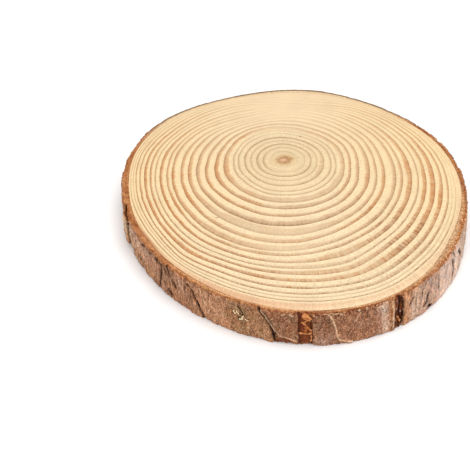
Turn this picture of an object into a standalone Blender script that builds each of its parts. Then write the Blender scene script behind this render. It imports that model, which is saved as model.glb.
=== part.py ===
# Slice cut square across a young conifer stem, with its bark left on. Metres, +Z up.
# It lies on its sawn base, and the middle of its plan box is the origin.
import math
import random

import bmesh
import bpy
from mathutils import Vector, noise

MM = 0.001

THICKNESS = 10.0 * MM  # sawn face to sawn face
MEAN_RADIUS = 43.85 * MM  # pith to the outside of the bark, averaged round the slice
GAP = 0.3 * MM  # parting between wood and bark

# Shape of the grown stem round its pith: waves per turn, cosine and sine share of the radius.
GROWN_WAVES = (
    (1, 0.0049, -0.2558),
    (2, -0.0447, -0.0519),
    (3, -0.0193, 0.0207),
    (4, 0.0068, 0.0003),
    (5, 0.0080, -0.0002),
)
# The first three waves as they set out in the young stem.
YOUNG_WAVES = (
    (1, -0.1030, -0.2985),
    (2, -0.0909, -0.0077),
    (3, 0.0124, 0.0242),
)

# Wood laid on in each year, in millimetres of mean radius, from the pith outwards.
YEARLY_GROWTH_MM = (
    3.6, 1.9, 1.6, 1.6, 1.7, 1.8, 1.3, 2.5, 1.9, 2.2, 2.5,
    2.2, 1.9, 2.4, 1.4, 1.9, 1.5, 1.5, 1.8, 1.5, 1.1, 1.5,
)
RING_RELIEF = 0.2 * MM  # soft earlywood lies this much below the hard latewood
RING_STEP = 0.22 * MM  # width of the drop outside each latewood line
RING_MARGIN = 0.5 * MM  # the last ring stays this far inside the edge of the wood
WOOD_SIDES = 80

# Bark: least thickness, and where it is thicker: degrees, half width in degrees, extra.
BARK_THICKNESS = 1.05 * MM
BARK_SWELLS = (
    (192, 26, 1.05 * MM),
    (236, 18, 0.35 * MM),
    (314, 15, 1.25 * MM),
    (75, 40, 0.15 * MM),
)
LEAST_BARK = 0.38 * MM  # what a crack leaves standing
PLATE_BULGE = 0.3 * MM
PLATE_SUNK = 0.45 * MM  # the lowest plates lie this far under the highest
FLAKE_RELIEF = 0.3 * MM  # dents and swellings of a plate
LEDGE = 0.28 * MM  # thickness of a loose flake, whose edge stands on the plate
COLUMN_SPACING = 1.4 * MM
BARK_ROWS = 11
EDGE_CHIP = 0.6 * MM

# Cracks that part the plates on the open side, from left to right as they face outwards:
# degrees at the top face, degrees at the base, width, share of the bark that they cut.
CRACKS = (
    (205.5, 202.0, 1.1 * MM, 0.9),
    (217.0, 216.0, 0.7 * MM, 0.5),
    (227.5, 226.0, 0.8 * MM, 0.6),
    (232.0, 234.0, 1.4 * MM, 0.8),
    (238.8, 243.6, 0.6 * MM, 0.8),
    (251.0, 250.4, 0.7 * MM, 0.4),
    (258.9, 262.4, 0.8 * MM, 0.8),
    (269.4, 269.6, 3.0 * MM, 0.7),
    (274.0, 277.5, 0.5 * MM, 0.5),
    (285.0, 285.6, 0.6 * MM, 0.5),
    (290.6, 290.8, 2.0 * MM, 1.0),
    (296.0, 296.6, 0.6 * MM, 0.5),
    (304.0, 305.0, 0.6 * MM, 0.5),
    (310.6, 312.4, 0.8 * MM, 0.7),
    (315.4, 320.6, 0.9 * MM, 0.8),
    (326.0, 330.0, 0.8 * MM, 0.6),
)
HIDDEN_SIDE = (336.0, 557.0)  # degrees that the rule below fills with cracks
HIDDEN_SPACING = (8.0, 14.0)
FLAKE_SHIFT = Vector((31.0, 4.0, 9.0))  # keeps the ledges apart from the dents
SEED = 7


def waves(degrees, age):
    """Radius over mean radius of the stem at this age, from 0 at the pith to 1 when grown."""
    angle = math.radians(degrees)
    young = {count: (cosine, sine) for count, cosine, sine in YOUNG_WAVES}
    total = 1.0
    for count, cosine, sine in GROWN_WAVES:
        if count in young:
            first = young[count]
            cosine = age * (first[0] + (cosine - first[0]) * age)
            sine = age * (first[1] + (sine - first[1]) * age)
        else:
            cosine *= age**4
            sine *= age**4
        total += cosine * math.cos(count * angle) + sine * math.sin(count * angle)
    return total


def ring_radius(degrees, mean_radius):
    return mean_radius * waves(degrees, mean_radius / MEAN_RADIUS)


def outer_radius(degrees):
    return ring_radius(degrees, MEAN_RADIUS)


def bark_thickness(degrees):
    thickness = BARK_THICKNESS
    for middle, half_width, extra in BARK_SWELLS:
        away = (degrees - middle + 180.0) % 360.0 - 180.0
        thickness += extra * math.exp(-((away / half_width) ** 2))
    return thickness


def wood_radius(degrees):
    return outer_radius(degrees) - bark_thickness(degrees)


def smooth_step(low, high, value):
    share = min(max((value - low) / (high - low), 0.0), 1.0)
    return share * share * (3.0 - 2.0 * share)


def at(degrees, radius, height):
    angle = math.radians(degrees)
    return Vector((radius * math.cos(angle), radius * math.sin(angle), height))


def first_rim(bm, points):
    circle = bmesh.ops.create_circle(bm, segments=len(points), radius=MEAN_RADIUS)
    rim = circle["verts"]
    for vert, point in zip(rim, points):
        vert.co = point
    return rim


def rim_edges(bm, rim):
    return [bm.edges.get(pair) for pair in zip(rim, rim[1:] + rim[:1])]


def extrude_rim(bm, rim, points):
    """Extrudes a closed rim of vertices to the points, and returns the new rim."""
    made = bmesh.ops.extrude_edge_only(bm, edges=rim_edges(bm, rim))["geom"]
    place = {vert: index for index, vert in enumerate(rim)}
    new_rim = [None] * len(rim)
    for vert in made:
        if not isinstance(vert, bmesh.types.BMVert):
            continue
        for edge in vert.link_edges:
            if edge.other_vert(vert) in place:
                new_rim[place[edge.other_vert(vert)]] = vert
    for vert, point in zip(new_rim, points):
        vert.co = point
    return new_rim


def cap(bm, rim):
    """Closes a rim with a fan round its middle."""
    bmesh.ops.poke(bm, faces=[bm.faces.new(rim)])


def material(name, color, roughness):
    made = bpy.data.materials.new(name)
    made.use_nodes = True
    shader = made.node_tree.nodes["Principled BSDF"]
    shader.inputs["Base Color"].default_value = (*color, 1.0)
    shader.inputs["Roughness"].default_value = roughness
    shader.inputs["Metallic"].default_value = 0.0
    made.diffuse_color = (*color, 1.0)
    return made


def solid(name, bm, finish):
    bmesh.ops.recalc_face_normals(bm, faces=bm.faces)
    mesh = bpy.data.meshes.new(name)
    bm.to_mesh(mesh)
    bm.free()
    mesh.materials.append(finish)
    made = bpy.data.objects.new(name, mesh)
    bpy.context.scene.collection.objects.link(made)
    return made


def build_wood():
    """Sawn disc: flat base, upright edge, and a top where each ring ends in a small crest."""
    turns = [360.0 * side / WOOD_SIDES for side in range(WOOD_SIDES)]
    edge = [wood_radius(turn) for turn in turns]

    def level(radii, height):
        return [at(turn, radius, height) for turn, radius in zip(turns, radii)]

    bm = bmesh.new()
    rim = first_rim(bm, level(edge, 0.0))
    cap(bm, rim)
    rim = extrude_rim(bm, rim, level(edge, THICKNESS))
    ring_ends = []
    grown = 0.0
    for growth in YEARLY_GROWTH_MM:
        grown += growth * MM
        ring_ends.append(grown)
    for mean_radius in reversed(ring_ends):
        crest = [
            min(ring_radius(turn, mean_radius), limit - RING_MARGIN - RING_STEP)
            for turn, limit in zip(turns, edge)
        ]
        valley = [radius + RING_STEP for radius in crest]
        if mean_radius > ring_ends[1]:
            rim = extrude_rim(bm, rim, level(valley, THICKNESS - RING_RELIEF))
        rim = extrude_rim(bm, rim, level(crest, THICKNESS))
    cap(bm, rim)
    return solid("wood", bm, material("wood", (0.78, 0.55, 0.32), 0.6))


def all_cracks():
    """The cracks of the open side, then those of the hidden side, in order round the slice."""
    draw = random.Random(SEED)
    cracks = list(CRACKS)
    turn = HIDDEN_SIDE[0]
    while turn < HIDDEN_SIDE[1]:
        lean = draw.uniform(-2.5, 2.5)
        width = draw.uniform(0.5, 1.3) * MM
        cracks.append((turn, turn + lean, width, draw.uniform(0.5, 0.95)))
        turn += draw.uniform(*HIDDEN_SPACING)
    return cracks


def bark_columns():
    """Upright columns of the bark: degrees at top and base, depth share, bulge share, plate."""
    columns = []
    cracks = all_cracks()
    for plate, crack in enumerate(cracks):
        top, base, width, depth = crack
        reach = math.degrees(width / outer_radius(top)) / 2
        floor = (-0.45, 0.45) if width > 1.5 * MM else (0.0,)
        columns.append((top - reach, base - reach, 0.0, 0.0, plate - 1))
        for place in floor:
            columns.append((top + place * reach, base + place * reach, depth, 0.0, plate))
        columns.append((top + reach, base + reach, 0.0, 0.0, plate))

        following = cracks[(plate + 1) % len(cracks)]
        turn_on = 360.0 if plate + 1 == len(cracks) else 0.0
        next_reach = math.degrees(following[2] / outer_radius(following[0])) / 2
        start = (top + reach, base + reach)
        end = (following[0] + turn_on - next_reach, following[1] + turn_on - next_reach)
        arc = math.radians(end[0] - start[0]) * outer_radius(top)
        count = max(2, round(arc / COLUMN_SPACING))
        for step in range(1, count):
            share = step / count
            upper = start[0] + (end[0] - start[0]) * share
            lower = start[1] + (end[1] - start[1]) * share
            bulge = math.sin(math.pi * share) ** 0.5
            columns.append((upper, lower, 0.0, bulge, plate))
    return columns, len(cracks)


def build_bark():
    """Closed band of plates parted by cracks, flush with both sawn faces at its inside."""
    columns, plate_count = bark_columns()
    draw = random.Random(SEED + 1)
    sunk = [draw.uniform(0.0, PLATE_SUNK) for _ in range(plate_count)]
    chips = [draw.uniform(0.15, 1.0) * EDGE_CHIP for _ in range(2 * plate_count)]

    def outside(column, share):
        top, base, depth, bulge, plate = column
        turn = base + (top - base) * share
        chip = chips[plate % plate_count], chips[plate_count + plate % plate_count]
        height = chip[0] + (THICKNESS - chip[0] - chip[1]) * share
        spot = at(turn, MEAN_RADIUS, height) / MM
        flake = noise.noise(spot * 0.35) * 0.6 + noise.noise(spot * 0.9) * 0.4
        ledge = smooth_step(-0.05, 0.05, noise.noise(spot * 0.2 + FLAKE_SHIFT))
        inner = wood_radius(turn) + GAP
        radius = outer_radius(turn) + bulge * PLATE_BULGE - sunk[plate % plate_count]
        radius += flake * FLAKE_RELIEF - ledge * LEDGE
        radius -= depth * (outer_radius(turn) - inner - LEAST_BARK) * (0.85 + 0.4 * flake)
        return at(turn, max(radius, inner + LEAST_BARK), height)

    def inside(column, height):
        turn = column[0] if height > 0.0 else column[1]
        return at(turn, wood_radius(turn) + GAP, height)

    rows = [
        [outside(column, row / BARK_ROWS) for column in columns]
        for row in range(BARK_ROWS + 1)
    ]
    bm = bmesh.new()
    rim = first_rim(bm, rows[0])
    for row in rows[1:]:
        rim = extrude_rim(bm, rim, row)
    rim = extrude_rim(bm, rim, [inside(column, THICKNESS) for column in columns])
    rim = extrude_rim(bm, rim, [inside(column, 0.0) for column in columns])
    extrude_rim(bm, rim, rows[0])
    bmesh.ops.remove_doubles(bm, verts=bm.verts, dist=1e-7)
    return solid("bark", bm, material("bark", (0.24, 0.12, 0.075), 0.9))


def centre_on_origin(pieces):
    """Moves the meshes so that the middle of the plan box is the origin."""
    corners = [vert.co for piece in pieces for vert in piece.data.vertices]
    middle_x = (min(co.x for co in corners) + max(co.x for co in corners)) / 2
    middle_y = (min(co.y for co in corners) + max(co.y for co in corners)) / 2
    for piece in pieces:
        for vert in piece.data.vertices:
            vert.co.x -= middle_x
            vert.co.y -= middle_y


for old in list(bpy.data.objects):
    bpy.data.objects.remove(old)

centre_on_origin([build_wood(), build_bark()])
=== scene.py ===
import math
from functools import partial
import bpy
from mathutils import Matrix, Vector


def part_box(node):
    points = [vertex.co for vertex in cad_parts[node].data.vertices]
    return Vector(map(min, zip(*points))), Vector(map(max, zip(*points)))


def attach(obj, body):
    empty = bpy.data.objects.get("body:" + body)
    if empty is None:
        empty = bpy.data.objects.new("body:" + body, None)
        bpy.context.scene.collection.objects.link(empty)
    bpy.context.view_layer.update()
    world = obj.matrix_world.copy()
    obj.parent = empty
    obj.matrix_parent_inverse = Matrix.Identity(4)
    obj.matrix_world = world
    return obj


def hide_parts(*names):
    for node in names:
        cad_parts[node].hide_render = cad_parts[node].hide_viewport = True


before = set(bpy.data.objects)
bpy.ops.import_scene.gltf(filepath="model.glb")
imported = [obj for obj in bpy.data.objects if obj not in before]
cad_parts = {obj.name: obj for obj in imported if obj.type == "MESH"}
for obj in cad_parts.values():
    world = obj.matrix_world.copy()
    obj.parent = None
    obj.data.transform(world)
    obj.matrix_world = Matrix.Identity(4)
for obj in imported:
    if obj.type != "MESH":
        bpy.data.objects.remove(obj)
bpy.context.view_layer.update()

from types import SimpleNamespace

import bmesh
import bpy
import numpy as np
from mathutils import Matrix, Vector, noise

mm = 0.001

# The stem as it grew, in millimetres round its pith. Each age, as a share of the grown radius,
# has its own shape: pairs of cosine and sine shares for one to six waves per turn.
stem = {
    "meanRadius": 43.85,
    "thickness": 10,
    "ages": (0, 0.35, 0.62, 0.82, 1),
    "waves": (
        ((0, 0), (0, 0), (0, 0), (0, 0), (0, 0), (0, 0)),
        ((-0.009, -0.087), (-0.038, -0.038), (-0.004, 0.004),
         (-0.001, 0.014), (-0.002, 0.002), (0.002, 0.003)),
        ((-0.033, -0.196), (-0.032, 0), (-0.014, 0.022),
         (0.001, -0.014), (0.004, 0.003), (-0.003, 0.006)),
        ((-0.008, -0.235), (-0.019, -0.046), (0.001, 0.031),
         (0.001, 0.012), (-0.004, -0.002), (0.002, -0.011)),
        ((0.0049, -0.2558), (-0.0447, -0.0519), (-0.0193, 0.0207),
         (0.0068, 0.0003), (0.008, -0.0002), (0, 0)),
    ),
    # Where the rings bend out or in: degrees, half width, mean radius, half depth, push.
    "bends": (
        (150, 30, 9, 3, 0.4), (260, 30, 7, 3, -0.4), (215, 25, 12.5, 2.5, -0.5), (330, 20, 12.5, 2.5, 0.3),
        (200, 25, 19.5, 2.5, 0.55), (340, 20, 19.3, 2.2, -0.5), (345, 25, 24.7, 1.5, -0.4),
        (270, 14, 25.5, 2, 0.5), (285, 12, 29.8, 2, -0.45), (280, 8, 34.6, 2.2, 0.5),
        (300, 11, 34.4, 2, -0.55), (216, 20, 40.4, 2.4, -0.6), (290, 8, 40, 2.6, 0.5),
        (233, 7, 38.6, 3.2, 0.45), (246, 7, 37.5, 3.5, -0.2), (286, 5, 33.5, 4, 0.3),
        (345, 14, 35.5, 2.5, -0.3), (330, 60, 24, 12, 0.4), (150, 60, 22, 12, 0.5), (290, 60, 8, 6, 0.25),
        (210, 35, 34, 4, 0.4), (100, 35, 9, 12, 0.5), (240, 20, 13, 4, 0.3), (200, 20, 22, 4, 0.2),
        (320, 20, 40, 4, 0.3), (280, 20, 27, 4, 0.25), (180, 12, 13, 4, -0.25),
    ),
    "core": 3.6,  # nearer the pith than this, the bends fade out
    "barkThickness": 1.05,
    "barkSwells": ((192, 26, 1.05), (236, 18, 0.35), (314, 15, 1.25), (75, 40, 0.15)),
}


def halfTurn(turn):  # the same direction, from -180 to 180 degrees
    return (turn + 180) % 360 - 180


def hill(value, middle, halfWidth):  # 1 at the middle, fading out
    return np.exp(-(((value - middle) / halfWidth) ** 2))


def swell(turn, middle, halfWidth):  # a hill on the way round the stem, in degrees
    return hill(halfTurn(turn - middle), 0, halfWidth)


def ease(low, high, value):  # from 0 at low to 1 at high, with soft ends
    share = np.clip((value - low) / (high - low), 0, 1)
    return share * share * (3 - 2 * share)


def grownRadius(turn, meanRadius):  # from the pith to the ring of this mean radius, without its bends
    age = np.asarray(meanRadius) / stem["meanRadius"]
    total = np.ones(np.broadcast(turn, age).shape)
    for wave in range(6):
        cosine = np.interp(age, stem["ages"], [shape[wave][0] for shape in stem["waves"]])
        sine = np.interp(age, stem["ages"], [shape[wave][1] for shape in stem["waves"]])
        angle = np.radians(turn) * (wave + 1)
        total += cosine * np.cos(angle) + sine * np.sin(angle)
    return total * meanRadius


def ringRadius(turn, meanRadius):
    radius = grownRadius(turn, meanRadius)
    bend = np.zeros(radius.shape)
    for middle, halfWidth, depth, halfDepth, push in stem["bends"]:
        bend += push * swell(turn, middle, halfWidth) * hill(meanRadius, depth, halfDepth)
    return radius + bend * ease(0, stem["core"], meanRadius)


def placesAt(turn, radius, height=0):  # from degrees, and distance from the pith
    angle = np.radians(turn)
    return np.stack(np.broadcast_arrays(radius * np.cos(angle), radius * np.sin(angle), height), -1)


def outerRadius(turn):  # outside of the bark
    return grownRadius(turn, stem["meanRadius"])


def barkThickness(turn):
    total = np.full(np.shape(turn), stem["barkThickness"])
    for middle, halfWidth, extra in stem["barkSwells"]:
        total += extra * swell(turn, middle, halfWidth)
    return total


def woodRadius(turn):
    return outerRadius(turn) - barkThickness(turn)


# The pith in the frame: the wood's plan box is known from the shape and from the CAD node.
woodLow, woodHigh = (np.array(corner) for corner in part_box("wood"))
everyTurn = np.arange(0, 360, 4.5)
woodPlan = placesAt(everyTurn, woodRadius(everyTurn)) * mm
pith = Vector(((woodLow + woodHigh - woodPlan.min(0) - woodPlan.max(0)) / 2)[:2].tolist()).to_3d()
print("pith at", [round(value / mm, 3) for value in pith])

# Camera: found from the outline of the sawn face and the lower edge of the bark.
view = {
    "focalPixels": 1100,
    "framePixels": 470,
    "elevation": 39.566,
    "roll": -5.045,
    "offset": (12.8, 19.58, 286.97),  # right, up and away from the pith on the sawn face, mm
}


def addObject(name, data):
    made = bpy.data.objects.new(name, data)
    bpy.context.scene.collection.objects.link(made)
    return made


def makeCamera():
    rise = math.radians(view["elevation"])
    roll = math.radians(view["roll"])
    right = Vector((1, 0, 0))
    ahead = Vector((0, math.cos(rise), -math.sin(rise)))
    upward = Vector((0, math.sin(rise), math.cos(rise)))
    sideways = math.cos(roll) * right + math.sin(roll) * upward
    over = -math.sin(roll) * right + math.cos(roll) * upward
    x, y, z = (value * mm for value in view["offset"])
    place = pith + Vector((0, 0, stem["thickness"] * mm)) - sideways * x - over * y - ahead * z
    data = bpy.data.cameras.new("camera")
    data.sensor_width = 36
    data.lens = view["focalPixels"] / view["framePixels"] * data.sensor_width
    data.clip_start = 0.01
    camera = addObject("camera", data)
    turn = Matrix((sideways, over, -ahead)).transposed().to_4x4()
    camera.matrix_world = Matrix.Translation(place) @ turn
    bpy.context.scene.camera = camera


makeCamera()
print("camera placed")


def linear(hexColor):  # sRGB hex to linear light
    values = [int(hexColor[place:place + 2], 16) / 255 for place in (1, 3, 5)]
    return tuple(value / 12.92 if value <= 0.04045 else ((value + 0.055) / 1.055) ** 2.4 for value in values)


def addNode(tree, kind, inputs=None, **settings):  # an input is a value or a socket; gives the outputs
    made = tree.nodes.new("ShaderNode" + kind)
    for name, value in settings.items():
        setattr(made, name, value)
    for name, value in (inputs or {}).items():
        if isinstance(value, bpy.types.NodeSocket):
            tree.links.new(value, made.inputs[name])
        else:
            made.inputs[name].default_value = value
    return made.outputs


def newMaterial(name):  # also gives addNode for its tree
    made = bpy.data.materials.new(name)
    made.use_nodes = True
    made.node_tree.nodes.clear()
    return made, partial(addNode, made.node_tree)


def setSurface(add, color, look, grain):  # a bare surface, rough as the look says, with this grain
    strength, distance = look["bump"]
    normal = add("Bump", {"Height": grain, "Strength": strength, "Distance": distance})[0]
    shader = add("BsdfPrincipled", {
        "Base Color": color, "Normal": normal, "Roughness": look["roughness"],
        "Specular IOR Level": look["specular"],
    })[0]
    add("OutputMaterial", {"Surface": shader})


def meshFrom(name, bm):
    mesh = bpy.data.meshes.new(name)
    bm.to_mesh(mesh)
    bm.free()
    return mesh


def latticeMesh(name, rowCount, sideCount):  # also gives the row and the turn of each point
    bm = bmesh.new()
    bmesh.ops.create_grid(bm, x_segments=sideCount, y_segments=rowCount - 1, size=0.5)
    mesh = meshFrom(name, bm)
    places = np.empty(len(mesh.vertices) * 3)
    mesh.vertices.foreach_get("co", places)
    places = places.reshape(-1, 3) + 0.5
    return mesh, np.rint(places[:, 1] * (rowCount - 1)).astype(int), places[:, 0] * 360


def setAttribute(mesh, name, values):
    kind = "FLOAT" if values.ndim == 1 else "FLOAT_VECTOR"
    field = "value" if values.ndim == 1 else "vector"
    mesh.attributes.new(name, kind, "POINT").data.foreach_set(field, values.astype(np.float32).ravel())


def showPiece(name, mesh, material):
    mesh.shade_smooth()
    mesh.materials.append(material)
    piece = addObject(name, mesh)
    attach(piece, "root")
    return piece


# Sets the points, in mm round the pith, closes the seams and poles, and makes the object.
def finishPiece(mesh, name, turn, radius, height, material, node):
    places = placesAt(turn, radius, height) * mm + np.array(pith)
    lowest, highest = (np.array(corner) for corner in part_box(node))
    places = np.clip(places, lowest, highest)
    mesh.vertices.foreach_set("co", places.astype(np.float32).ravel())
    bm = bmesh.new()
    bm.from_mesh(mesh)
    bmesh.ops.remove_doubles(bm, verts=bm.verts, dist=1e-6)
    bmesh.ops.recalc_face_normals(bm, faces=bm.faces)
    bm.to_mesh(mesh)
    bm.free()
    return showPiece(name, mesh, material)


def evenTint(hexColor, count):
    return np.tile(linear(hexColor), (count, 1))


def paint(tint, hexColor, share):  # mixes a colour into the tints of the points
    return tint + (np.array(linear(hexColor)) - tint) * np.clip(share, 0, 1)[:, None]


def noiseAt(points, scale, shift=(0, 0, 0)):  # about -1 to 1, with features about 1 / scale across
    return np.array([noise.noise(point) for point in points * np.array(scale) + shift])


def turnNoise(turn, waves, along, scale=1):  # waves per radian, and a third value that it follows too
    return noiseAt(placesAt(turn, waves, along), scale)


# Rings from the pith outwards: growth in mm, share of latewood, its depth of tone, its warmth.
rings = (
    (3.6, 0.25, 0.02, 0.3), (1.89, 0.3, 0.26, 0.1), (1.63, 0.34, 0.82, 0.1), (1.54, 0.36, 0.52, 0.2),
    (1.73, 0.4, 0.82, 0.2), (1.92, 0.32, 0.62, 0.3), (1.29, 0.42, 0.68, 0.2), (2.39, 0.5, 0.7, 0.6),
    (1.96, 0.48, 0.9, 0.5), (2.18, 0.42, 0.84, 0.5), (2.42, 0.46, 0.84, 0.3), (2.14, 0.42, 0.8, 0.4),
    (1.83, 0.46, 0.82, 0.5), (2.37, 0.38, 0.8, 0.4), (1.4, 0.46, 0.84, 0.5), (1.91, 0.5, 1, 0.6),
    (1.42, 0.34, 0.74, 0), (1.53, 0.46, 0.95, 0.5), (1.77, 0.5, 1, 0.6), (1.56, 0.4, 0.9, 0.4),
    (1.27, 0.4, 0.84, 0.2), (0.75, 0.4, 0.55, 0.1), (0.81, 0.42, 0.95, 0.1),
)

# Stretches where a ring differs: ring, degrees, half width, more share, more tone, more warmth.
ringAccents = (
    (1, 188, 38, 0.1, 0.55, 0.1), (2, 300, 32, 0.1, 0.2, 0), (2, 185, 25, 0.25, 0, 0),
    (4, 338, 26, 0.3, -0.05, 0.05), (5, 92, 48, 0, -0.55, 0), (6, 92, 48, 0, -0.6, 0),
    (3, 92, 40, 0, -0.3, 0), (7, 88, 30, 0.25, -0.35, 0), (7, 132, 16, -0.1, 0.2, 0.5),
    (7, 185, 22, 0.04, 0.15, 0.35), (7, 275, 35, 0.3, 0, -0.4), (7, 318, 10, 0.25, 0, -0.4),
    (8, 190, 22, 0, 0.1, 0.4), (8, 236, 12, 0.1, 0.1, 0.1), (8, 275, 25, 0.15, 0, -0.4),
    (9, 205, 30, 0, 0.1, 0.4), (10, 262, 32, 0.1, 0.2, -0.2), (10, 335, 22, 0, 0.1, 0.4),
    (11, 254, 32, 0.62, -0.32, -0.1), (11, 185, 18, 0.1, 0.15, 0.5), (12, 200, 22, 0, 0.1, 0.5),
    (12, 255, 22, 0.1, -0.2, 0.1), (12, 318, 25, 0, 0.1, 0.5), (13, 236, 24, 0.3, -0.1, 0.1),
    (13, 266, 14, 0.35, -0.35, 0), (13, 190, 15, 0, 0.15, 0.6), (14, 206, 10, 0.15, 0.2, 0.5),
    (14, 255, 18, 0.3, -0.1, 0.2), (15, 212, 28, -0.1, 0, 0.3), (15, 266, 10, -0.1, -0.45, 0),
    (15, 286, 8, 0.22, -0.25, 0.1), (15, 300, 14, 0.05, 0, 0), (15, 340, 18, 0.1, 0, 0.4),
    (16, 272, 14, 0.3, -0.15, 0), (17, 275, 16, 0.3, -0.2, 0.2), (17, 302, 16, 0.1, 0, 0),
    (17, 333, 20, 0.1, 0.05, 0.3), (18, 282, 16, 0.1, -0.2, 0.2), (18, 300, 18, 0.05, 0, 0),
    (18, 336, 22, 0.12, 0.05, 0.3), (18, 225, 25, 0.1, 0, 0.2), (19, 300, 14, 0.1, 0, 0),
    (19, 328, 14, 0.15, 0.05, 0.4), (20, 295, 12, 0.2, 0, 0.1), (22, 345, 25, 0, -0.7, 0),
    (21, 345, 30, 0, -0.4, 0), (22, 180, 18, 0, -0.5, 0),
)

woodDisc = {
    "sides": 560,
    "topPhases": (0, 0.25, 0.55, 0.85, 1),  # where a ring has a row of points, from its inner edge
    "basePhases": (0, 1),
    "ringEdge": 0.05,  # width of the drop from dark latewood to the next spring's wood
    "relief": 0.09,  # sanding leaves the soft wood this much lower
    "ripple": 0.13,  # small waves along a ring
    "edgeRound": 0.06,
    "edgeMargin": 0.5,  # the last ring stays this far inside the edge of the wood
    "reach": 40,  # mean radius, in mm, that counts as 1 in the pattern of the grain
}


def ringRows(phases):  # mean radius, ring number and phase in the ring, then the rows of the edge
    rows = [(0, 0, 0)]
    inner = 0
    for number, ring in enumerate(rings):
        for phase in phases[0 if number else 1:]:
            rows.append((inner + woodDisc["ringEdge"] * (1 - phase) + ring[0] * phase, number, phase))
        inner += ring[0]
    return rows + [(inner, len(rings), phase) for phase in (0, 0.3, 0.65, 1)]


def rippledRadius(turn, mean):
    waves = turnNoise(turn, 5, mean * 0.05) + 0.6 * turnNoise(turn, 17, mean * 0.25)
    return ringRadius(turn, mean) + waves * woodDisc["ripple"] * ease(3, 18, mean)


def woodPoints():  # the disc's mesh, and for each point its turn, mean radius, ring, phase and face
    top = [(*row, 1) for row in ringRows(woodDisc["topPhases"])]
    base = [(*row, -1) for row in reversed(ringRows(woodDisc["basePhases"]))]
    table = np.array(top + base, float)
    mesh, row, turn = latticeMesh("woodDisc", len(table), woodDisc["sides"])
    mean, number, phase, face = table[row].T
    at = SimpleNamespace(turn=turn, mean=mean, number=number.astype(int), phase=phase, face=face)
    at.rim = at.number == len(rings)  # young wood outside the last full ring
    at.farSide = swell(turn, 85, 58) * ease(10, 24, mean)  # the narrow side, with pale rings
    return mesh, at


def latewood(at):  # share, depth of tone and warmth of the dark band
    turn, mean = at.turn, at.mean
    late = np.array([ring[1:] for ring in rings] + [(0.4, 0, 0)])[at.number]
    for which, middle, halfWidth, *more in ringAccents:
        here = (at.number == which) * swell(turn, middle, halfWidth)
        late = late + here[:, None] * np.array(more)
    uneven = turnNoise(turn, 7, at.number * 3.7)
    late[:, 0] *= 1 + 0.2 * uneven
    late[:, 1] *= 1 + 0.18 * uneven
    late[:, 1] *= 1 - 0.92 * swell(turn, 84, 62) * ease(10, 24, mean)
    late[:, 1] *= 1 + (0.2 * swell(turn, 232, 28) + 0.04 * swell(turn, 312, 20)) * ease(18, 30, mean)
    paler = 0.03 + 0.04 * np.cos(np.radians(turn)) ** 2 + 0.15 * ease(18, 8, mean)
    late[:, 1] *= 1 - paler - 0.12 * swell(turn, 278, 22) - 0.16 * swell(turn, 0, 35)
    return np.clip(late, 0.02, 1)


def woodShape(at):  # radius and height in mm
    radius = rippledRadius(at.turn, at.mean)
    edge = woodRadius(at.turn)
    lastLine = rippledRadius(at.turn, np.full(len(at.turn), sum(ring[0] for ring in rings)))
    excess = np.maximum(lastLine - (edge - woodDisc["edgeMargin"]), 0)
    radius = radius - ease(30, 41, at.mean) * excess
    start = lastLine - excess + woodDisc["ringEdge"]
    radius[at.rim] = (start + (edge - start) * at.phase)[at.rim]

    relief = woodDisc["relief"] * ease(1.5, 5, at.mean) * (1 - 0.85 * at.farSide)
    hollow = np.where(at.rim, 0.35, 1 - at.phase**2) * relief
    hollow = np.where(at.rim & (at.phase == 1), woodDisc["edgeRound"], hollow)
    half = stem["thickness"] / 2
    return radius, half + at.face * (half - hollow)


# Tints of the spring wood, the dark band and the year line. The sides are warmer.
def woodTints(at, warmth):
    turn, phase, rim, count = at.turn, at.phase, at.rim, len(at.turn)
    side = np.clip(np.cos(np.radians(turn)) ** 2 * at.mean / woodDisc["reach"] * 0.6, 0, 1)
    warmer = np.clip(warmth - 0.25 + side * 1.1 + 0.35 * turnNoise(turn, 6, at.number * 5.3 + 40), 0, 1)
    young = ease(0, 0.45, phase) * (0.15 + 0.6 * swell(turn, 275, 48) + 0.5 * swell(turn, 252, 16))
    spring = evenTint(pineLook["springWood"], count)
    for hexColor, share in (
        (pineLook["springSide"], side),
        (pineLook["core"], ease(20, 4, at.mean) * 0.5),
        (pineLook["youngEdge"], rim * young),
        (pineLook["youngPale"], rim * ease(0.3, 0.65, phase) * swell(turn, 283, 22) * 0.6),
        (barkLook["rim"], rim * ease(0.4, 0.75, phase) * swell(turn, 218, 9)),
    ):
        spring = paint(spring, hexColor, share)
    spring = spring * (1 - at.farSide[:, None] * np.array((0.03, 0.06, 0.07)))
    band = paint(evenTint(pineLook["paleBand"], count), pineLook["warmBand"], warmer)
    line = paint(evenTint(pineLook["yearLine"], count), pineLook["warmLine"], warmer)
    return {"spring": spring, "band": band, "line": line}


def buildWood(material):
    mesh, at = woodPoints()
    turn, number = at.turn, at.number
    share, tone, warmth = latewood(at).T
    for name, values in woodTints(at, warmth).items():
        setAttribute(mesh, name, values)
    setAttribute(mesh, "year", np.stack([np.where(at.rim, 0, at.phase), 1 - share, tone], -1))
    setAttribute(mesh, "grain", placesAt(turn, 1, at.mean / woodDisc["reach"]))
    hatch = (0.35 + 0.55 * swell(turn, 290, 38) * ease(20, 33, at.mean)) * (1 - 0.8 * at.farSide)
    scored = 0.45 * swell(turn, 304, 16) * (number >= 12) + 0.2 * swell(turn, 262, 28) * (number >= 14)
    scored += 0.6 * (number == 18) * (swell(turn, 303.6, 2.5) + swell(turn, 312.6, 3))
    setAttribute(mesh, "grit", np.stack([hatch, 1 - 0.85 * at.farSide, scored], -1))
    piece = finishPiece(mesh, "woodDisc", turn, *woodShape(at), material, "wood")
    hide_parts("wood")


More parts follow.
